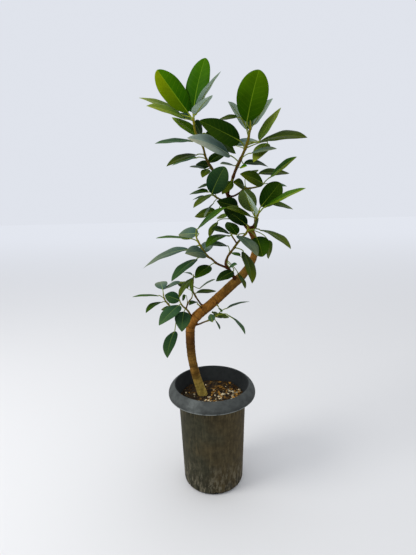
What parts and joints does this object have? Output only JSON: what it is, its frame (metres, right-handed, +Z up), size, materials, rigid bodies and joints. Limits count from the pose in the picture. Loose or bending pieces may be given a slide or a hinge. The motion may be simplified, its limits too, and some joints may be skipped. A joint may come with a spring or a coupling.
{
  "type": "potted port jackson fig",
  "caption": "Small woody fig tree with a bent trunk and leathery oval leaves on short leafy shoots, growing in a deep round plastic nursery pot with a wide rolled collar.",
  "frame": {"origin": "middle of the pot's flat underside, on the surface it stands on", "axes": "+Z up along the pot's axis, +X to the right and +Y away from the viewer, seen from the front"},
  "size_m": [0.3748, 0.2339, 0.9868],
  "materials": {
    "pot_plastic": "old charcoal plastic, matt, scuffed pale on its collar, streaked with dried soil below",
    "soil_mix": "dark crumbly potting mix with cream pumice grains and brown bark chips",
    "bark": "ochre brown bark with ring scars and pale specks, greyer at the foot, redder on branches",
    "foliage": "leathery glossy dark green leaves, pale grey green beneath, yellow green ribs and stems"
  },
  "bodies": {
    "root": {"pot": "pot_plastic", "soil": "soil_mix", "trunk": "bark", "shoot_crown_left": "foliage", "shoot_crown_right": "foliage", "shoot_upper_left": "foliage", "shoot_upper_right": "foliage", "shoot_fork_right": "foliage", "shoot_inner_right": "foliage", "shoot_inner_left": "foliage", "shoot_low_left": "foliage", "shoot_low_front": "foliage", "shoot_far_left": "foliage", "shoot_low_right": "foliage", "sprout_leader": "foliage", "sprout_trunk_top": "foliage", "sprout_bend": "foliage", "sprout_under": "foliage"}
  },
  "joints": []
}
